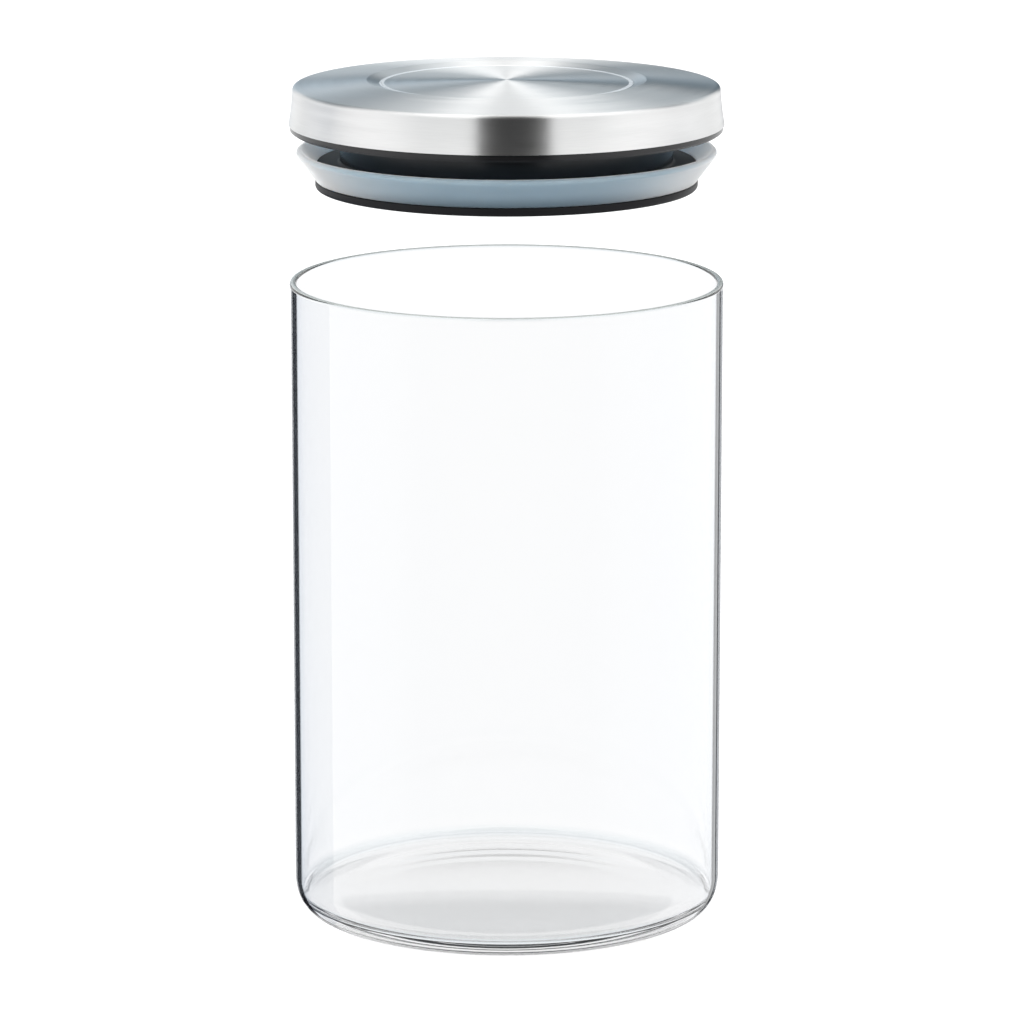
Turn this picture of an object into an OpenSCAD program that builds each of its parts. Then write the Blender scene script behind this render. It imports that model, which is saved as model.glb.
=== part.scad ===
// Storage jar of blown glass with a lift-off lid. The lid is drawn raised above the mouth.

/* [Jar] */
// Outside diameter of the glass
jar_d = 100; // [90:1:120]
// Height of the glass from foot to rim
jar_h = 148; // [110:1:220]
// Thickness of the side wall
wall = 1.6; // [1.4:0.1:2]
// Width of the rounded heel between side wall and foot
heel_w = 3.6; // [2.5:0.1:5]
// Height of the rounded heel
heel_h = 7.5; // [5:0.5:10]
// Width of the flat ring that the jar stands on
foot_ring_w = 6; // [4:0.5:10]
// Height of the hollow under the middle of the base
punt_h = 1.1; // [0.6:0.1:1.5]
// Height of the inner floor above the foot, near the wall
floor_h = 3; // [2.5:0.1:5]
// How much higher the floor is at its middle
floor_crown = 0.8; // [0.2:0.1:1.5]
// Radius of the corner between floor and side wall
floor_round = 2.4; // [2:0.1:6]

/* [Steel cap] */
// Height of the cap's side wall
cap_h = 8.8; // [7:0.1:14]
// How much smaller the cap's radius is at the top edge than at the hem
cap_taper = 0.9; // [0.3:0.1:1.5]
// Thickness of the sheet steel
sheet_t = 0.5; // [0.4:0.05:0.6]
// Radius of the edge between top and side wall
cap_edge_round = 1; // [0.8:0.1:1.5]
// How much the top rises from its edge to the recess
crown_rise = 1.3; // [0.8:0.1:1.5]
// Diameter of the round recess, across its outer edge
recess_d = 64; // [50:1:70]
// Width of the recess's sloping side
recess_slope_w = 2.8; // [1.5:0.1:3.5]
// Depth of the recess at its rim
recess_depth = 0.8; // [0.5:0.1:1.2]
// How much the recess's floor rises to its middle
recess_crown = 0.7; // [0.2:0.1:1]

/* [Plug] */
// Thickness of the flange that rests on the rim of the glass
flange_t = 1.7; // [1.4:0.1:2.5]
// Radius of the neck under the flange
neck_r = 38.2; // [30:0.1:39]
// Thickness of the plug's moulded walls
plug_wall = 1.8; // [1.5:0.1:2.2]
// Radius of the shoulder that holds the seal from above
shoulder_r = 43.5; // [42:0.1:43.5]
// Depth of the shoulder's top under the flange
shoulder_depth = 7.1; // [6.5:0.1:8.5]
// Thickness of the shoulder
shoulder_t = 1.5; // [1.2:0.1:1.6]
// Radius of the disc that closes the plug from below
disc_r = 43.9; // [43.6:0.1:44.4]
// Thickness of the closing disc
disc_t = 2; // [1.6:0.1:2.5]

/* [Seal] */
// Height of the seal's root, between shoulder and closing disc
root_h = 2.4; // [2:0.1:3]
// Depth of the top of the seal's lip under the flange
lip_depth = 4.1; // [3.5:0.1:4.5]
// Radius of the lip's rounded tip
lip_round = 0.8; // [0.5:0.1:0.9]
// Gap between the lip and the inside of the glass
lip_gap = 0.2; // [0.2:0.05:0.5]

/* [Lid travel] */
// How far above its seat the lid is drawn
lift = 34.5; // [25:0.5:60]
// Gap between flange and rim when the lid is down
seat_gap = 0.2; // [0.1:0.05:0.3]

/* [Hidden] */
$fn = 96;
heel_steps = 12;

jar_r = jar_d / 2;
bore_r = jar_r - wall;
foot_r = jar_r - heel_w;
punt_r = foot_r - foot_ring_w;
floor_r = bore_r - floor_round;

// Heights in the lid are counted from the flange's underside.
lid_z = jar_h + seat_gap + lift;
cap_r = jar_r - 0.1;
cap_edge_r = cap_r - cap_taper;
cap_edge_z = flange_t + cap_h;
recess_r = recess_d / 2;
recess_floor_r = recess_r - recess_slope_w;
recess_top_z = cap_edge_z + crown_rise;
recess_floor_z = recess_top_z - recess_depth;

flange_r = cap_r - 0.3;
flange_step_r = flange_r - 0.6;
flange_step_h = 0.35;
spigot_r = cap_r - sheet_t - 0.8;
spigot_h = 3;
spigot_t = 1.4;
neck_bore_r = neck_r - plug_wall;
shoulder_z = -shoulder_depth;
root_top_z = shoulder_z - shoulder_t;
plug_end_z = root_top_z - root_h;

lip_r = bore_r - lip_gap;
lip_z = -lip_depth;

disc_edge_round = 0.6;
disc_ring_r = neck_bore_r - 0.1;
disc_ring_t = 1.6;
disc_ring_h = 4;

// A sphere cap's radius from its chord radius and its rise.
function dome_r(chord, rise) = (chord * chord + rise * rise) / (2 * rise);

// Where a straight line from a point touches a circle.
// The side is 1 for the left of the line and -1 for its right.
function touch_point(from, centre, r, side) =
    let (d = centre - from, a = atan2(d.y, d.x) + side * asin(r / norm(d)) + side * 90)
    centre + r * [cos(a), sin(a)];

// The outline of the heel, a quarter of an ellipse from the side wall down to the foot.
function heel_outline() = [
    for (i = [0:heel_steps])
        let (a = 90 * i / heel_steps)
            [foot_r + heel_w * cos(a), heel_h - heel_h * sin(a)]
];

// The half disc of a shallow dome, with its rim at the height z.
module dome_profile(chord, rise, z) {
    r = dome_r(chord, rise);
    intersection() {
        translate([0, z + rise - r]) circle(r, $fn = 360);
        translate([0, z]) square([2 * chord, rise]);
    }
}

module ring_profile(r_in, r_out, z_low, z_high) {
    translate([r_in, z_low]) square([r_out - r_in, z_high - z_low]);
}

// What is cut off a wall's square top corner to round it. The side is 1 outwards and -1 inwards.
module rim_corner(side) {
    translate([bore_r + wall / 2, jar_h - wall / 2])
    scale([side, 1])
    difference() {
        square(wall);
        circle(wall / 2);
    }
}

module jar_outside() {
    polygon(concat([[0, 0], [0, jar_h], [jar_r, jar_h]], heel_outline()));
}

module jar_inside() {
    polygon([
        [0, floor_h],
        [floor_r, floor_h],
        [bore_r, floor_h + floor_round],
        [bore_r, jar_h + 1],
        [0, jar_h + 1]
    ]);
    intersection() {
        translate([floor_r, floor_h + floor_round]) circle(floor_round);
        translate([floor_r, floor_h]) square(floor_round);
    }
}

module glass_jar() {
    color([0.86, 0.92, 0.93, 0.4])
    rotate_extrude() {
        difference() {
            jar_outside();
            difference() {
                jar_inside();
                dome_profile(floor_r, floor_crown, floor_h);
            }
            dome_profile(punt_r, punt_h, 0);
            rim_corner(1);
            rim_corner(-1);
        }
    }
}

// The cap's outline from hem to middle, with every height lowered and the wall moved in by the inset.
module cap_profile(inset, hem_z) {
    edge_r = cap_edge_r - inset;
    edge_round = cap_edge_round - inset;
    polygon([
        [0, hem_z],
        [cap_r - inset, hem_z],
        [cap_r - inset, flange_t],
        [edge_r, cap_edge_z - inset - edge_round],
        [edge_r - edge_round, cap_edge_z - inset],
        [recess_r, recess_top_z - inset],
        [recess_floor_r, recess_floor_z - inset],
        [0, recess_floor_z - inset]
    ]);
    translate([edge_r - edge_round, cap_edge_z - inset - edge_round]) circle(edge_round);
    dome_profile(recess_floor_r, recess_crown, recess_floor_z - inset);
}

module steel_cap() {
    color("silver")
    translate([0, 0, lid_z])
    rotate_extrude()
    difference() {
        cap_profile(0, flange_t);
        cap_profile(sheet_t, flange_t - 1);
    }
}

module plug_body() {
    color([0.09, 0.09, 0.1])
    translate([0, 0, lid_z])
    rotate_extrude() {
        ring_profile(neck_bore_r, flange_step_r, 0, flange_t);
        ring_profile(neck_bore_r, flange_r, flange_step_h, flange_t);
        ring_profile(spigot_r - spigot_t, spigot_r, 0, flange_t + spigot_h);
        ring_profile(neck_bore_r, neck_r, plug_end_z, flange_t);
        ring_profile(neck_bore_r, shoulder_r, root_top_z, shoulder_z);
    }
}

module silicone_gasket() {
    tip = [lip_r - lip_round, lip_z - lip_round];
    root_edge = [disc_r - 0.1, plug_end_z];
    dish_edge = [shoulder_r, shoulder_z];
    color([0.72, 0.77, 0.8])
    translate([0, 0, lid_z])
    rotate_extrude() {
        polygon([
            [neck_r, plug_end_z],
            root_edge,
            touch_point(root_edge, tip, lip_round, -1),
            tip,
            touch_point(dish_edge, tip, lip_round, 1),
            dish_edge,
            [shoulder_r, root_top_z],
            [neck_r, root_top_z]
        ]);
        translate(tip) circle(lip_round);
    }
}

module base_disc() {
    bottom_z = plug_end_z - disc_t;
    color([0.09, 0.09, 0.1])
    translate([0, 0, lid_z])
    rotate_extrude() {
        difference() {
            ring_profile(0, disc_r, bottom_z, plug_end_z);
            translate([disc_r - disc_edge_round, bottom_z]) square(disc_edge_round);
        }
        translate([disc_r - disc_edge_round, bottom_z + disc_edge_round]) circle(disc_edge_round);
        ring_profile(disc_ring_r - disc_ring_t, disc_ring_r, bottom_z + 0.5, plug_end_z + disc_ring_h);
    }
}

glass_jar();
steel_cap();
plug_body();
silicone_gasket();
base_disc();
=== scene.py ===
import math

import bmesh
import bpy
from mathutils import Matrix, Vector


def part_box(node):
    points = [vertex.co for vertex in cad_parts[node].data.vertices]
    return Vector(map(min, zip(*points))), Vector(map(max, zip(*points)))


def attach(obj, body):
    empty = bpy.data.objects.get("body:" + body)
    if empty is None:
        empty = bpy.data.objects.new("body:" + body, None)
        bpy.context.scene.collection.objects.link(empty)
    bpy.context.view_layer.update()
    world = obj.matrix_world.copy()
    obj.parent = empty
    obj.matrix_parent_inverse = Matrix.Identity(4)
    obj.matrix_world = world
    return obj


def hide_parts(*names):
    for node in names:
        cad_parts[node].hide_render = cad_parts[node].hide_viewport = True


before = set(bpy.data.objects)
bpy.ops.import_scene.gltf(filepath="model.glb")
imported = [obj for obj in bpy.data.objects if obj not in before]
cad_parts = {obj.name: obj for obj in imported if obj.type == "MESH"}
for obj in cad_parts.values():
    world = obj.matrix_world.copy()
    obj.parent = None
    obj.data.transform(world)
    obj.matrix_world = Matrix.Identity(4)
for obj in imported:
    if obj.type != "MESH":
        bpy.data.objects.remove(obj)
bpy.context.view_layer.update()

MM = 0.001

# ---------------------------------------------------------------- sizes
# The outsides come from the frame's boxes. The rest are the CAD's sizes, with finer rounding and
# a few small details added.
jar_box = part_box("glass_jar")
cap_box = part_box("steel_cap")
plug_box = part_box("plug_body")
seal_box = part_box("silicone_gasket")
disc_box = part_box("base_disc")

JAR_R = jar_box[1].x
JAR_H = jar_box[1].z
WALL = 1.6 * MM
HEEL_W = 3.6 * MM
HEEL_H = 7.5 * MM
FOOT_RING_W = 6 * MM
PUNT_H = 1.1 * MM
FLOOR_H = 3 * MM
FLOOR_CROWN = 0.8 * MM
FLOOR_ROUND = 2.4 * MM

CAP_R = cap_box[1].x
HEM_Z = cap_box[0].z
SHEET = 0.5 * MM
CROWN_RISE = 1.3 * MM
EDGE_Z = cap_box[1].z - CROWN_RISE
EDGE_R = CAP_R - 0.9 * MM
EDGE_ROUND = 1 * MM
HEM_FLARE_POWER = 1.5
RECESS_R = 32 * MM
RECESS_FLOOR_R = RECESS_R - 2.8 * MM
RECESS_DEPTH = 0.8 * MM
RECESS_CROWN = 0.7 * MM
RECESS_RIM_ROUND = 0.7 * MM
RECESS_FOOT_ROUND = 0.3 * MM
# The thin raised ring round the recess's floor
RING_R = RECESS_FLOOR_R - 0.4 * MM
RING_W = 0.44 * MM
RING_RISE = 0.1 * MM

FLANGE_R = plug_box[1].x
FLANGE_T = 1.7 * MM
LID_Z = HEM_Z - FLANGE_T
FLANGE_STEP_R = FLANGE_R - 0.6 * MM
FLANGE_STEP_H = 0.35 * MM
SPIGOT_TOP = plug_box[1].z
SPIGOT_R = CAP_R - SHEET - 0.8 * MM
SPIGOT_T = 1.4 * MM
PLUG_END = plug_box[0].z
NECK_R = 38.2 * MM
NECK_BORE_R = 36.4 * MM
SHOULDER_R = 43.5 * MM
SHOULDER_Z = LID_Z - 7.1 * MM
SHOULDER_T = 1.5 * MM
SHOULDER_FILLET = 0.8 * MM
MOULDED_EDGE = 0.25 * MM

LIP_R = seal_box[1].x
LIP_TOP = seal_box[1].z
LIP_ROUND = 0.8 * MM
ROOT_INSET = 0.1 * MM
SEAL_GAP = 0.04 * MM

DISC_R = disc_box[1].x
DISC_LOW = disc_box[0].z
DISC_TOP = PLUG_END
DISC_RING_R = NECK_BORE_R - 0.1 * MM
DISC_RING_T = 1.6 * MM
DISC_RING_TOP = disc_box[1].z
# The raised edge on the disc's underside, with its sloping inner side
DISC_EDGE_W = 5.6 * MM
DISC_EDGE_SLOPE_W = 0.6 * MM
DISC_EDGE_RISE = 0.4 * MM

# ---------------------------------------------------------------- fineness of the meshes
TURNS = 288
SIDE_STEP = 2.5 * MM
LIP_SIDE_STEP = 1 * MM
CORNER_STEPS = 7
DOME_STEPS = 24
HEEL_STEPS = 28
RIM_STEPS = 16
FLOOR_CORNER_STEPS = 18
CAP_WALL_STEPS = 12
CAP_EDGE_STEPS = 10
RING_STEPS = 8
LIP_STEPS = 16
SHARP_ANGLE = 32
ON_AXIS = 1e-7


# ---------------------------------------------------------------- outlines and turned pieces
def spaced(start, end, step=SIDE_STEP):
    """Points from start up to end, without end.

    They are closer together near both ends, so that the shading of a flat side stays flat.
    """
    length = math.dist(start, end)
    count = max(1, round(length / step)) + (2 if length > 4 * step else 0)
    shares = [0.5 - 0.5 * math.cos(math.pi * i / count) for i in range(count)]
    return [(start[0] + t * (end[0] - start[0]), start[1] + t * (end[1] - start[1])) for t in shares]


def arc(centre, radii, start, end, steps):
    """Points along an ellipse's arc between two angles in degrees, both ends included."""
    points = []
    for i in range(steps + 1):
        a = math.radians(start + (end - start) * i / steps)
        points.append((centre[0] + radii[0] * math.cos(a), centre[1] + radii[1] * math.sin(a)))
    return points


def dome(chord, rise, z):
    """Points along a shallow dome from its top on the axis out to its rim at height z."""
    radius = (chord * chord + rise * rise) / (2 * rise)
    points = []
    for i in range(DOME_STEPS + 1):
        r = chord * i / DOME_STEPS
        points.append((r, z + rise - radius + math.sqrt(radius * radius - r * r)))
    return points


def corner(before, at, after, radius):
    """Points round a corner: an arc of the given radius that touches both straight sides."""
    if radius <= 0:
        return [at]
    p = Vector(at)
    u = (Vector(before) - p).normalized()
    v = (Vector(after) - p).normalized()
    half = math.acos(max(-1, min(1, u.dot(v)))) / 2
    back = radius / math.tan(half)
    centre = p + (u + v).normalized() * (radius / math.sin(half))
    first = p + u * back - centre
    last = p + v * back - centre
    points = []
    for i in range(CORNER_STEPS + 1):
        t = i / CORNER_STEPS
        turn = (first * (1 - t) + last * t).normalized() * radius
        points.append(tuple(centre + turn))
    return points


def closed_outline(corners):
    """A closed outline from (r, z, rounding) corners, with its straight sides divided."""
    count = len(corners)
    runs = []
    for i in range(count):
        before, at, after = corners[i - 1][:2], corners[i], corners[(i + 1) % count][:2]
        runs.append(corner(before, at[:2], after, at[2]))
    points = []
    for i in range(count):
        run, following = runs[i], runs[(i + 1) % count]
        points += run[:-1] + spaced(run[-1], following[0])
    return points


def touch_angle(start, centre, radius, side):
    """The angle on a circle, in degrees, where a line from start touches it.

    The side is 1 for the circle's left as seen from start and -1 for its right.
    """
    away = Vector(centre) - Vector(start)
    turn = math.atan2(away.y, away.x) + side * math.asin(radius / away.length)
    return math.degrees(turn) + side * 90


def turned(name, outline, materials, slots=None):
    """A closed solid of revolution about Z, from its (r, z) outline.

    slots has one material slot for each side of the outline. Without it, all sides have the first.
    """
    verts, rings = [], []
    for r, z in outline:
        if r < ON_AXIS:
            rings.append([len(verts)] * TURNS)
            verts.append((0, 0, z))
        else:
            rings.append(list(range(len(verts), len(verts) + TURNS)))
            for k in range(TURNS):
                a = 2 * math.pi * k / TURNS
                verts.append((r * math.cos(a), r * math.sin(a), z))
    faces, face_slots = [], []
    for i in range(len(outline)):
        low, high = rings[i], rings[(i + 1) % len(rings)]
        if low[0] == low[1] and high[0] == high[1]:
            continue
        for k in range(TURNS):
            n = (k + 1) % TURNS
            face = [low[k], low[n], high[n], high[k]]
            faces.append(tuple(dict.fromkeys(face)))
            face_slots.append(slots[i] if slots else 0)
    mesh = bpy.data.meshes.new(name)
    mesh.from_pydata(verts, [], faces)
    mesh.polygons.foreach_set("material_index", face_slots)
    mesh.polygons.foreach_set("use_smooth", [True] * len(faces))
    shell = bmesh.new()
    shell.from_mesh(mesh)
    bmesh.ops.recalc_face_normals(shell, faces=shell.faces)
    shell.to_mesh(mesh)
    shell.free()
    mesh.set_sharp_from_angle(angle=math.radians(SHARP_ANGLE))
    for material in materials:
        mesh.materials.append(material)
    piece = bpy.data.objects.new(name, mesh)
    bpy.context.scene.collection.objects.link(piece)
    return piece


# ---------------------------------------------------------------- node helpers
def new_material(name):
    material = bpy.data.materials.new(name)
    material.use_nodes = True
    nodes = material.node_tree.nodes
    return material, nodes, material.node_tree.links, nodes["Principled BSDF"]


def math_node(nodes, links, operation, a, b=None):
    """The result of one math node. Each value is a number or another node's output."""
    node = nodes.new("ShaderNodeMath")
    node.operation = operation
    for socket, value in zip(node.inputs, (a, b)):
        if value is None:
            continue
        if isinstance(value, (int, float)):
            socket.default_value = value
        else:
            links.new(value, socket)
    return node.outputs[0]


def product(nodes, links, first, *others):
    result = first
    for value in others:
        result = math_node(nodes, links, "MULTIPLY", result, value)
    return result


def noise(nodes, links, vector, scale, detail=2.0, roughness=0.5):
    node = nodes.new("ShaderNodeTexNoise")
    node.inputs["Scale"].default_value = scale
    node.inputs["Detail"].default_value = detail
    node.inputs["Roughness"].default_value = roughness
    links.new(vector, node.inputs["Vector"])
    return node.outputs["Fac"]


def spread(nodes, links, value, low, high):
    """A noise's middle values, from 0.25 to 0.75, mapped from low to high."""
    node = nodes.new("ShaderNodeMapRange")
    node.inputs["From Min"].default_value = 0.25
    node.inputs["From Max"].default_value = 0.75
    node.inputs["To Min"].default_value = low
    node.inputs["To Max"].default_value = high
    links.new(value, node.inputs["Value"])
    return node.outputs["Result"]


def smooth_step(nodes, links, value, start, end):
    """0 before start and 1 after end, easing between them. Start may be the larger."""
    node = nodes.new("ShaderNodeMapRange")
    node.interpolation_type = "SMOOTHSTEP"
    node.inputs["From Min"].default_value = start
    node.inputs["From Max"].default_value = end
    links.new(value, node.inputs["Value"])
    return node.outputs["Result"]


def overlay(nodes, links, below, above, amount):
    """One colour laid over another. Each is three numbers or a node's output."""
    node = nodes.new("ShaderNodeMix")
    node.data_type = "RGBA"
    links.new(amount, node.inputs["Factor"])
    for colour, socket in ((below, node.inputs["A"]), (above, node.inputs["B"])):
        if isinstance(colour, tuple):
            socket.default_value = (*colour, 1)
        else:
            links.new(colour, socket)
    return node.outputs["Result"]


def colour_ramp(nodes, links, value, stops):
    """A colour for each value, from (position, colour) stops in rising order."""
    node = nodes.new("ShaderNodeValToRGB")
    points = node.color_ramp.elements
    while len(points) < len(stops):
        points.new(1.0)
    for point, (position, colour) in zip(points, stops):
        point.position = position
        point.color = (*colour, 1)
    links.new(value, node.inputs[0])
    return node.outputs["Color"]


def facing(nodes):
    """0 where a surface is seen head-on, rising to 1 where it is seen edge-on."""
    node = nodes.new("ShaderNodeLayerWeight")
    node.inputs["Blend"].default_value = 0.5
    return node.outputs["Facing"]


def bump(nodes, links, shader, height, distance, strength):
    node = nodes.new("ShaderNodeBump")
    node.inputs["Strength"].default_value = strength
    node.inputs["Distance"].default_value = distance
    links.new(height, node.inputs["Height"])
    links.new(node.outputs["Normal"], shader.inputs["Normal"])


def object_coordinates(nodes):
    return nodes.new("ShaderNodeTexCoord").outputs["Object"]


def separated(nodes, links, vector):
    """The X, Y and Z of a vector, in that order."""
    node = nodes.new("ShaderNodeSeparateXYZ")
    links.new(vector, node.inputs[0])
    return node.outputs


def turning_coordinates(nodes, links, across, along):
    """Coordinates that change fast across the circles round Z and slowly along them."""
    x, y, z = separated(nodes, links, object_coordinates(nodes))
    squares = math_node(nodes, links, "ADD", product(nodes, links, x, x), product(nodes, links, y, y))
    r = math_node(nodes, links, "SQRT", squares)
    safe = math_node(nodes, links, "MAXIMUM", r, 1e-5)
    run = product(nodes, links, math_node(nodes, links, "ADD", r, z), across)
    cosine = product(nodes, links, math_node(nodes, links, "DIVIDE", x, safe), along)
    sine = product(nodes, links, math_node(nodes, links, "DIVIDE", y, safe), along)
    joined = nodes.new("ShaderNodeCombineXYZ")
    for socket, value in zip(joined.inputs, (run, cosine, sine)):
        links.new(value, socket)
    return joined.outputs[0]


# ---------------------------------------------------------------- materials
GLASS_IOR = 1.474
CLEAR = (0.952, 0.951, 0.95)
PLAIN_TINT = ((0.0, CLEAR), (1.0, CLEAR))
# The side wall's colour, from head-on to edge-on. Head-on it is the glass's clear tint. Near edge-on it
# has a painted dark line with paler steps beside it: painted shade in place of the dark edges that the
# glass bends and mirrors.
SIDE_TINT_AND_PAINTED_EDGE_LINE = (
    (0.0, CLEAR),
    (0.66, (0.92, 0.93, 0.95)),
    (0.735, (0.74, 0.77, 0.82)),
    (0.755, (0.004, 0.005, 0.006)),
    (0.835, (0.004, 0.005, 0.006)),
    (0.86, (0.50, 0.52, 0.55)),
    (0.90, (0.80, 0.82, 0.86)),
)


def clear_glass(name, tint_and_painted_edge_line):
    """Clear glass. A ramp gives its colour from head-on to edge-on: its own tint, and on the side wall
    also a painted dark edge line.
    """
    material, nodes, links, shader = new_material(name)
    shader.inputs["Roughness"].default_value = 0.0
    shader.inputs["IOR"].default_value = GLASS_IOR
    shader.inputs["Transmission Weight"].default_value = 1.0
    links.new(colour_ramp(nodes, links, facing(nodes), tint_and_painted_edge_line), shader.inputs["Base Color"])
    ripple = noise(nodes, links, object_coordinates(nodes), scale=38, detail=1.0)
    bump(nodes, links, shader, ripple, distance=0.4 * MM, strength=0.02)
    return material


def ground_rim(name):
    """The mouth's ground edge, a pale grey-green band that lets little through."""
    material, nodes, links, shader = new_material(name)
    cloud = noise(nodes, links, object_coordinates(nodes), scale=400, detail=3.0)
    shade = overlay(nodes, links, (0.40, 0.425, 0.412), (0.46, 0.485, 0.472), cloud)
    links.new(shade, shader.inputs["Base Color"])
    links.new(spread(nodes, links, cloud, 0.25, 0.35), shader.inputs["Roughness"])
    shader.inputs["IOR"].default_value = GLASS_IOR
    shader.inputs["Transmission Weight"].default_value = 0.25
    return material


def brushed_steel(name, dull, bright, roughness, anisotropy):
    """Steel brushed in circles round Z. Its grain goes from the dull colour to the bright one."""
    material, nodes, links, shader = new_material(name)
    fine = turning_coordinates(nodes, links, across=7000, along=9)
    coarse = turning_coordinates(nodes, links, across=700, along=1.5)
    grain = noise(nodes, links, fine, scale=1.0, detail=3.0, roughness=0.6)
    bands = noise(nodes, links, coarse, scale=1.0)
    links.new(overlay(nodes, links, dull, bright, grain), shader.inputs["Base Color"])
    links.new(spread(nodes, links, bands, roughness * 0.9, roughness * 1.1), shader.inputs["Roughness"])
    shader.inputs["Metallic"].default_value = 1.0
    shader.inputs["Anisotropic"].default_value = anisotropy
    shader.inputs["Anisotropic Rotation"].default_value = 0.25
    tangent = nodes.new("ShaderNodeTangent")
    tangent.direction_type = "RADIAL"
    tangent.axis = "Z"
    links.new(tangent.outputs[0], shader.inputs["Tangent"])
    bump(nodes, links, shader, grain, distance=0.02 * MM, strength=0.15)
    return material


def black_plastic(name, roughness, specular):
    material, nodes, links, shader = new_material(name)
    where = object_coordinates(nodes)
    grain = noise(nodes, links, where, scale=2600)
    drift = noise(nodes, links, where, scale=60)
    shade = overlay(nodes, links, (0.006, 0.006, 0.007), (0.010, 0.010, 0.011), drift)
    links.new(shade, shader.inputs["Base Color"])
    links.new(spread(nodes, links, drift, roughness * 0.9, roughness * 1.1), shader.inputs["Roughness"])
    shader.inputs["IOR"].default_value = 1.48
    shader.inputs["Specular IOR Level"].default_value = specular
    bump(nodes, links, shader, grain, distance=0.02 * MM, strength=0.2)
    return material


def matte_plastic():
    """The matte plastic that the plug's shoulder and the closing disc share."""
    made = bpy.data.materials.get("matte_black")
    return made or black_plastic("matte_black", roughness=0.4, specular=0.1)


def clear_silicone(name):
    """Milky silicone that lets light through.

    It is blue-grey head-on. Edge-on it is painted paler: painted light, for the backdrop seen through
    it. Towards its root, where it lies on black plastic, it is painted darker: painted shade.
    """
    # The root's darker blue is painted shade, which fades out over this height above the disc.
    painted_root_shade_reach = 3.5 * MM
    painted_root_shade_colour = (0.19, 0.27, 0.335)
    painted_edge_light_colour = (0.90, 0.93, 0.96)
    material, nodes, links, shader = new_material(name)
    where = object_coordinates(nodes)
    cloud = noise(nodes, links, where, scale=90, detail=3.0)
    colour = overlay(nodes, links, (0.34, 0.45, 0.535), (0.39, 0.50, 0.58), cloud)
    height = separated(nodes, links, where)["Z"]
    # Painted shade: darker towards the root.
    painted_root_shade = smooth_step(nodes, links, height, PLUG_END + painted_root_shade_reach, PLUG_END)
    colour = overlay(nodes, links, colour, painted_root_shade_colour, painted_root_shade)
    # Painted light: paler where the silicone is seen edge-on.
    edge = smooth_step(nodes, links, facing(nodes), 0.3, 0.92)
    colour = overlay(nodes, links, colour, painted_edge_light_colour, edge)
    links.new(colour, shader.inputs["Base Color"])
    links.new(spread(nodes, links, cloud, 0.28, 0.34), shader.inputs["Roughness"])
    shader.inputs["IOR"].default_value = 1.3
    shader.inputs["Transmission Weight"].default_value = 0.5
    shader.inputs["Subsurface Weight"].default_value = 1.0
    shader.inputs["Subsurface Radius"].default_value = (1.0, 1.1, 1.2)
    shader.inputs["Subsurface Scale"].default_value = 5 * MM
    shader.inputs["Sheen Weight"].default_value = 1.0
    shader.inputs["Sheen Roughness"].default_value = 0.32
    bump(nodes, links, shader, noise(nodes, links, where, scale=1800), distance=0.02 * MM, strength=0.15)
    return material


# ---------------------------------------------------------------- the object's pieces
def glass_jar():
    """The jar. Its side wall and heel have a painted dark line where they are seen edge-on, a painted
    shade, and its rim is ground on top.
    """
    bore_r = JAR_R - WALL
    foot_r = JAR_R - HEEL_W
    punt_r = foot_r - FOOT_RING_W
    floor_r = bore_r - FLOOR_ROUND
    rim_z = JAR_H - WALL / 2
    floor_edge_z = FLOOR_H + FLOOR_ROUND

    outline = dome(punt_r, PUNT_H, 0)[:-1]
    outline += spaced((punt_r, 0), (foot_r, 0))
    side_start = len(outline) + HEEL_STEPS // 2
    outline += arc((foot_r, HEEL_H), (HEEL_W, HEEL_H), -90, 0, HEEL_STEPS)[:-1]
    outline += spaced((JAR_R, HEEL_H), (JAR_R, rim_z))
    rim_start = len(outline)
    outline += arc((bore_r + WALL / 2, rim_z), (WALL / 2, WALL / 2), 0, 180, RIM_STEPS)[:-1]
    rim_end = len(outline)
    outline += spaced((bore_r, rim_z), (bore_r, floor_edge_z))
    outline += arc((floor_r, floor_edge_z), (FLOOR_ROUND, FLOOR_ROUND), 0, -90, FLOOR_CORNER_STEPS)[:-1]
    outline += reversed(dome(floor_r, FLOOR_CROWN, FLOOR_H))

    side, plain, ground = range(3)
    slots = [plain] * len(outline)
    slots[side_start:rim_start] = [side] * (rim_start - side_start)
    ground_margin = RIM_STEPS // 4
    for i in range(rim_start + ground_margin, rim_end - ground_margin):
        slots[i] = ground
    return turned("jar_glass", outline, [
        clear_glass("glass_outside", SIDE_TINT_AND_PAINTED_EDGE_LINE),
        clear_glass("glass_inside", PLAIN_TINT),
        ground_rim("glass_rim"),
    ], slots)


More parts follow.
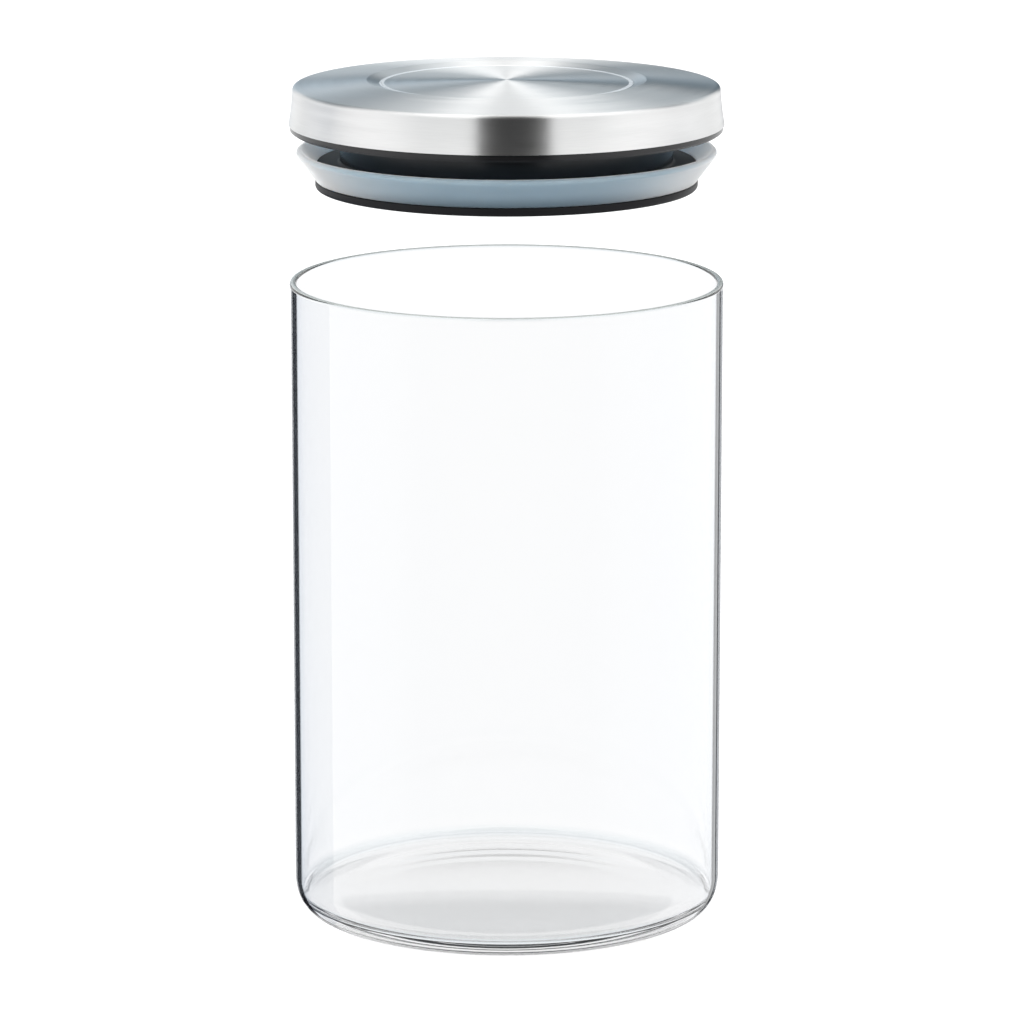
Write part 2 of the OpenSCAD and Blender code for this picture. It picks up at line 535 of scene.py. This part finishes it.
def cap_surface(inset):
    """Points up the cap's wall, over its edge and in to the middle, moved in by the inset."""
    hem_r = CAP_R - inset
    edge_r = EDGE_R - inset
    edge_round = EDGE_ROUND - inset
    wall_top = EDGE_Z - inset - edge_round
    wall = []
    for i in range(CAP_WALL_STEPS):
        t = i / CAP_WALL_STEPS
        r = edge_r + (hem_r - edge_r) * (1 - t) ** HEM_FLARE_POWER
        wall.append((r, HEM_Z + t * (wall_top - HEM_Z)))

    crown_top = EDGE_Z + CROWN_RISE - inset
    floor_z = crown_top - RECESS_DEPTH
    slope = math.degrees(math.atan2(CROWN_RISE, EDGE_R - EDGE_ROUND - RECESS_R))
    edge_centre = (edge_r - edge_round, wall_top)
    edge = arc(edge_centre, (edge_round, edge_round), 0, 90 - slope, CAP_EDGE_STEPS)
    rim_point = (RECESS_R, crown_top)
    floor_point = (RECESS_FLOOR_R, floor_z)
    recess_rim = corner(edge[-1], rim_point, floor_point, RECESS_RIM_ROUND)
    recess_foot = corner(rim_point, floor_point, (0, floor_z + RECESS_CROWN), RECESS_FOOT_ROUND)
    crown = spaced(edge[-1], recess_rim[0])
    recess_side = spaced(recess_rim[-1], recess_foot[0])

    ring = []
    for i in range(RING_STEPS + 1):
        across = i / RING_STEPS - 0.5
        r = RING_R - across * RING_W
        base = floor_z + RECESS_CROWN * (1 - (r / RECESS_FLOOR_R) ** 2)
        ring.append((r, base + RING_RISE * math.cos(math.pi * across) ** 2))
    floor_points = reversed(dome(RECESS_FLOOR_R, RECESS_CROWN, floor_z))
    middle = [point for point in floor_points if point[0] < RING_R - RING_W]
    return wall + edge[:-1] + crown + recess_rim[:-1] + recess_side + recess_foot + ring + middle


def steel_cap():
    """The cap, a sheet with an outer and an inner surface. The raised ring on it is painted brighter, a
    painted highlight on top of the light that its own rise catches.
    """
    outer = cap_surface(0)
    inner = cap_surface(SHEET)[::-1]
    ring_reach = 0.51 * RING_W    # just over half, to take in both of its ends
    slots = [1 if abs(r - RING_R) < ring_reach else 0 for r, z in outer] + [0] * len(inner)
    brushed = brushed_steel(
        "brushed_steel", dull=(0.66, 0.66, 0.655), bright=(0.74, 0.74, 0.735),
        roughness=0.37, anisotropy=0.97,
    )
    # The ring's steel is lighter and less streaked than the rest: a painted highlight.
    bright = brushed_steel(
        "ring_painted_highlight", dull=(0.86, 0.87, 0.88), bright=(0.92, 0.93, 0.94),
        roughness=0.45, anisotropy=0.3,
    )
    return turned("cap_steel", outer + inner, [brushed, bright], slots)


def plug_body():
    """The plug. The shoulder's top and the fillet above it are matte, and the rest is satin."""
    root_top = SHOULDER_Z - SHOULDER_T
    outline = closed_outline([
        (NECK_BORE_R, PLUG_END, 0),
        (NECK_R, PLUG_END, 0),
        (NECK_R, root_top, 0),
        (SHOULDER_R, root_top, MOULDED_EDGE),
        (SHOULDER_R, SHOULDER_Z, MOULDED_EDGE),
        (NECK_R, SHOULDER_Z, SHOULDER_FILLET),
        (NECK_R, LID_Z, 0.6 * MM),
        (FLANGE_STEP_R, LID_Z, 0.15 * MM),
        (FLANGE_STEP_R, LID_Z + FLANGE_STEP_H, 0.05 * MM),
        (FLANGE_R, LID_Z + FLANGE_STEP_H, MOULDED_EDGE),
        (FLANGE_R, HEM_Z, 0.12 * MM),
        (SPIGOT_R, HEM_Z, 0),
        (SPIGOT_R, SPIGOT_TOP, MOULDED_EDGE),
        (SPIGOT_R - SPIGOT_T, SPIGOT_TOP, MOULDED_EDGE),
        (SPIGOT_R - SPIGOT_T, HEM_Z, 0),
        (NECK_BORE_R, HEM_Z, MOULDED_EDGE),
    ])
    matte_reach = SHOULDER_FILLET + 0.1 * MM
    matte_start_r = NECK_R + 0.02 * MM
    slots = [1 if abs(z - SHOULDER_Z) < matte_reach and r > matte_start_r else 0 for r, z in outline]
    satin = black_plastic("black_plastic", roughness=0.23, specular=0.42)
    return turned("plug_black", outline, [satin, matte_plastic()], slots)


def silicone_gasket():
    """The seal: a root between the shoulder and the disc, and a lip that flares up from it."""
    inner_r = NECK_R + SEAL_GAP
    dish_r = SHOULDER_R + SEAL_GAP
    root_low = PLUG_END + SEAL_GAP
    root_top = SHOULDER_Z - SHOULDER_T - SEAL_GAP
    root_edge = (DISC_R - ROOT_INSET, root_low)
    dish_edge = (dish_r, SHOULDER_Z)
    tip = (LIP_R - LIP_ROUND, LIP_TOP - LIP_ROUND)
    low_touch = touch_angle(root_edge, tip, LIP_ROUND, -1)
    high_touch = touch_angle(dish_edge, tip, LIP_ROUND, 1)
    lip = arc(tip, (LIP_ROUND, LIP_ROUND), low_touch, high_touch, LIP_STEPS)
    outline = spaced((inner_r, root_low), root_edge)
    outline += spaced(root_edge, lip[0])
    outline += lip[:-1]
    outline += spaced(lip[-1], dish_edge, LIP_SIDE_STEP)
    outline += spaced(dish_edge, (dish_r, root_top))
    outline += spaced((dish_r, root_top), (inner_r, root_top))
    outline += spaced((inner_r, root_top), (inner_r, root_low))
    return turned("gasket_silicone", outline, [clear_silicone("silicone")])


def base_disc():
    """The closing disc, with the ring that snaps into the neck and a raised edge underneath."""
    hollow_z = DISC_LOW + DISC_EDGE_RISE
    outline = closed_outline([
        (0, hollow_z, 0),
        (DISC_R - DISC_EDGE_W + DISC_EDGE_SLOPE_W, hollow_z, 0.3 * MM),
        (DISC_R - DISC_EDGE_W, DISC_LOW, 0.3 * MM),
        (DISC_R, DISC_LOW, 0.8 * MM),
        (DISC_R, DISC_TOP, 0.45 * MM),
        (DISC_RING_R, DISC_TOP, 0),
        (DISC_RING_R, DISC_RING_TOP, 0.2 * MM),
        (DISC_RING_R - DISC_RING_T, DISC_RING_TOP, 0.2 * MM),
        (DISC_RING_R - DISC_RING_T, DISC_TOP, 0),
        (0, DISC_TOP, 0),
    ])
    return turned("disc_black", outline, [matte_plastic()])


# Each piece's function, the CAD node that it replaces, its body and its slot
PIECES = (
    (glass_jar, "glass_jar", "jar", "glass"),
    (steel_cap, "steel_cap", "lid", "brushed_steel"),
    (plug_body, "plug_body", "lid", "black_plastic"),
    (silicone_gasket, "silicone_gasket", "lid", "silicone"),
    (base_disc, "base_disc", "lid", "black_plastic"),
)
for make, node, body, slot in PIECES:
    piece = make()
    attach(piece, body)
    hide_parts(node)


# ---------------------------------------------------------------- stage, light and camera
# The dark gap in front of the object, between the lights: an upright card, and a skirt that
# slopes from its foot in towards the object, below the lid. Ends are (x, y) places.
GAP_LEFT = (-0.0265, -0.12)
GAP_RIGHT = (0.0408, -0.12)
GAP_FOOT = PLUG_END - 0.035
GAP_TOP = 0.6
GAP_COLOUR = (0.02, 0.02, 0.021)
SKIRT_LEFT = (-0.014, -0.062)
SKIRT_RIGHT = (0.022, -0.062)
SKIRT_END = PLUG_END - 0.016

# The upright cards behind the object, which the jar's side wall mirrors near its edges:
# name, left end, right end and colour
SIDE_CARDS = (
    ("dark_left", (-0.212, 0.25), (-0.124, 0.25), (0.02, 0.02, 0.03)),
    ("pale_left", (-0.45, 0.10), (-0.213, 0.25), (0.50, 0.56, 0.66)),
    ("dark_right", (0.105, 0.25), (0.167, 0.25), (0.15, 0.155, 0.17)),
)
SIDE_CARD_FOOT = -0.25
SIDE_CARD_TOP = 0.1

FLOOR_HALF = 3.0
FLOOR_DROP = 0.05 * MM
WHITE = (1, 1, 1, 1)

# The light by height, from straight down at 0 to straight up at 1
SKY = (
    (0.00, (0.40, 0.42, 0.44)),
    (0.25, (0.46, 0.48, 0.49)),
    (0.37, (0.53, 0.535, 0.54)),
    (0.60, (0.55, 0.55, 0.55)),
    (0.80, (0.72, 0.72, 0.72)),
    (0.93, (1.18, 1.18, 1.18)),
    (0.975, (1.15, 1.15, 1.15)),
    (0.993, (0.7, 0.7, 0.7)),
)
SKY_LEAN = (0.09, 0.0, 0.996)
DIFFUSE_LEAN = 0.5
SKY_STRENGTH = 2.0
DIFFUSE_STRENGTH = 2.7
BACKDROP_STRENGTH = 1.1


def staged(name, verts, material, **shown):
    """A four-cornered sheet on the stage, seen only by the kinds of ray that are set to True."""
    mesh = bpy.data.meshes.new(name)
    mesh.from_pydata(verts, [], [(0, 1, 2, 3)])
    mesh.materials.append(material)
    sheet = bpy.data.objects.new(name, mesh)
    bpy.context.scene.collection.objects.link(sheet)
    for ray in ("camera", "diffuse", "glossy", "transmission", "shadow"):
        setattr(sheet, "visible_" + ray, shown.get(ray, False))


def floor():
    """A matte floor just under the foot, which glows so that it stays white."""
    material, nodes, links, shader = new_material("floor")
    shader.inputs["Base Color"].default_value = (0.2, 0.2, 0.2, 1)
    shader.inputs["Roughness"].default_value = 1.0
    shader.inputs["Specular IOR Level"].default_value = 0.0
    shader.inputs["Emission Color"].default_value = WHITE
    shader.inputs["Emission Strength"].default_value = 0.9
    signs = ((-1, -1), (1, -1), (1, 1), (-1, 1))
    verts = [(x * FLOOR_HALF, y * FLOOR_HALF, -FLOOR_DROP) for x, y in signs]
    staged("floor", verts, material, camera=True, shadow=True)


def glow(name, colour):
    material = bpy.data.materials.new(name)
    material.use_nodes = True
    nodes = material.node_tree.nodes
    nodes.remove(nodes["Principled BSDF"])
    emission = nodes.new("ShaderNodeEmission")
    emission.inputs["Color"].default_value = (*colour, 1)
    material.node_tree.links.new(emission.outputs[0], nodes["Material Output"].inputs["Surface"])
    return material


def card(name, left, right, foot, top, material):
    """An upright card that only reflections show, between two (x, y) ends."""
    verts = [(*left, foot), (*right, foot), (*right, top), (*left, top)]
    staged(name, verts, material, glossy=True)


def cards():
    dark = glow("gap_between_lights", GAP_COLOUR)
    card("gap_between_lights", GAP_LEFT, GAP_RIGHT, GAP_FOOT, GAP_TOP, dark)
    skirt = [
        (*GAP_LEFT, GAP_FOOT), (*GAP_RIGHT, GAP_FOOT),
        (*SKIRT_RIGHT, SKIRT_END), (*SKIRT_LEFT, SKIRT_END),
    ]
    staged("gap_skirt", skirt, dark, glossy=True)
    for name, left, right, colour in SIDE_CARDS:
        card(name, left, right, SIDE_CARD_FOOT, SIDE_CARD_TOP, glow(name, colour))


def mirrored_sky(nodes, links, sky, x, y, z):
    """What polished and brushed surfaces mirror: light to the sides, and dim greys behind."""
    below_colour = (0.64, 0.645, 0.65)
    side_colour = (0.72, 0.72, 0.725)
    left_low, left_high = (0.30, 0.355, 0.40), (0.17, 0.20, 0.22)
    right_low, right_high = (0.03, 0.05, 0.065), (0.37, 0.41, 0.435)
    far_colour = (0.09, 0.10, 0.11)

    def step(value, start, end):
        return smooth_step(nodes, links, value, start, end)

    def over(below, above, amount):
        return overlay(nodes, links, below, above, amount)

    away = step(y, 0.12, 0.35)
    aside = math_node(nodes, links, "ABSOLUTE", x)
    bright = over(sky, below_colour, product(nodes, links, away, step(z, -0.03, -0.10)))
    bright = over(bright, side_colour, step(aside, 0.65, 0.95))

    # The dim part differs to the left and the right of the middle, and low down and high up.
    left = over(left_low, left_high, step(z, 0.25, 0.42))
    right = over(right_low, right_high, step(z, 0.25, 0.42))
    dim = over(left, right, step(x, -0.025, 0.025))
    far = product(nodes, links, step(aside, 0.4, 0.6), step(z, 0.4, 0.52))
    dim = over(dim, far_colour, far)

    # It lies behind, from the horizon up to an edge that climbs to both sides, and leaves out
    # the low part far to either side.
    climb = math_node(nodes, links, "SUBTRACT", z, product(nodes, links, aside, 0.9))
    low_aside = product(nodes, links, step(aside, 0.22, 0.4), step(z, 0.40, 0.26))
    kept = math_node(nodes, links, "SUBTRACT", 1.0, low_aside)
    dimmed = product(nodes, links, away, step(z, -0.07, -0.02), step(climb, 0.76, 0.60), kept)
    return over(bright, dim, dimmed)


def sky_through_glass(nodes, links, sky, high, y, z):
    """What rays meet after the glass: a faint shade behind, and a dark band higher up.

    The band shows as a grey crescent in the thick base.
    """
    shade_amount = 0.35
    shade_colour = (0.0, 0.0, 0.0)
    band_colour = (0.012, 0.015, 0.018)
    away = smooth_step(nodes, links, y, 0.45, 0.65)
    shade = product(nodes, links, away, smooth_step(nodes, links, z, 0.08, 0.25), shade_amount)
    foot = smooth_step(nodes, links, z, 0.292, 0.312)
    band = product(nodes, links, away, foot, smooth_step(nodes, links, high, 0.66, 0.50))
    shaded = overlay(nodes, links, sky, shade_colour, shade)
    return overlay(nodes, links, shaded, band_colour, band)


def studio_world():
    """Soft white light, brightest high up.

    Reflections and rays through glass meet patterns of their own. The camera sees plain white.
    """
    world = bpy.data.worlds.new("studio")
    bpy.context.scene.world = world
    world.use_nodes = True
    nodes, links = world.node_tree.nodes, world.node_tree.links
    way = nodes.new("ShaderNodeTexCoord").outputs["Generated"]
    x, y, z = separated(nodes, links, way)
    path = nodes.new("ShaderNodeLightPath").outputs

    # The height leans to one side for most rays and to the other for diffuse ones.
    lean = nodes.new("ShaderNodeVectorMath")
    lean.operation = "DOT_PRODUCT"
    lean.inputs[1].default_value = SKY_LEAN
    links.new(way, lean.inputs[0])
    sideways = product(nodes, links, x, path["Is Diffuse Ray"], DIFFUSE_LEAN)
    high = math_node(nodes, links, "SUBTRACT", lean.outputs["Value"], sideways)
    height = nodes.new("ShaderNodeMapRange")
    height.inputs["From Min"].default_value = -1.0
    links.new(high, height.inputs["Value"])
    sky = colour_ramp(nodes, links, height.outputs["Result"], SKY)

    mirrored = mirrored_sky(nodes, links, sky, x, y, z)
    through = sky_through_glass(nodes, links, sky, high, y, z)
    colour = overlay(nodes, links, sky, mirrored, path["Is Glossy Ray"])
    inside = math_node(nodes, links, "GREATER_THAN", path["Transmission Depth"], 0.5)
    colour = overlay(nodes, links, colour, through, inside)
    strength = nodes.new("ShaderNodeMapRange")
    strength.inputs["To Min"].default_value = SKY_STRENGTH
    strength.inputs["To Max"].default_value = DIFFUSE_STRENGTH
    links.new(path["Is Diffuse Ray"], strength.inputs["Value"])

    light = nodes["Background"]
    links.new(strength.outputs["Result"], light.inputs["Strength"])
    links.new(colour, light.inputs["Color"])
    backdrop = nodes.new("ShaderNodeBackground")
    backdrop.inputs["Color"].default_value = WHITE
    backdrop.inputs["Strength"].default_value = BACKDROP_STRENGTH
    mix = nodes.new("ShaderNodeMixShader")
    links.new(path["Is Camera Ray"], mix.inputs[0])
    links.new(light.outputs[0], mix.inputs[1])
    links.new(backdrop.outputs[0], mix.inputs[2])
    links.new(mix.outputs[0], nodes["World Output"].inputs["Surface"])


def camera():
    """The camera, in front of the object and looking slightly down on it."""
    look_down = 12.35
    data = bpy.data.cameras.new("camera")
    data.sensor_width = 36
    data.lens = 193.5
    data.clip_start = 0.05
    data.clip_end = 20
    eye = bpy.data.objects.new("camera", data)
    eye.location = (0.00125, -1.25, 0.3669)
    eye.rotation_euler = (math.radians(90 - look_down), 0, 0)
    bpy.context.scene.collection.objects.link(eye)
    bpy.context.scene.camera = eye


floor()
cards()
studio_world()
camera()

scene = bpy.context.scene
scene.view_settings.view_transform = "Standard"
scene.view_settings.look = "None"
scene.cycles.use_denoising = True
scene.cycles.max_bounces = 32
scene.cycles.transmission_bounces = 32
scene.cycles.glossy_bounces = 8
scene.cycles.diffuse_bounces = 4
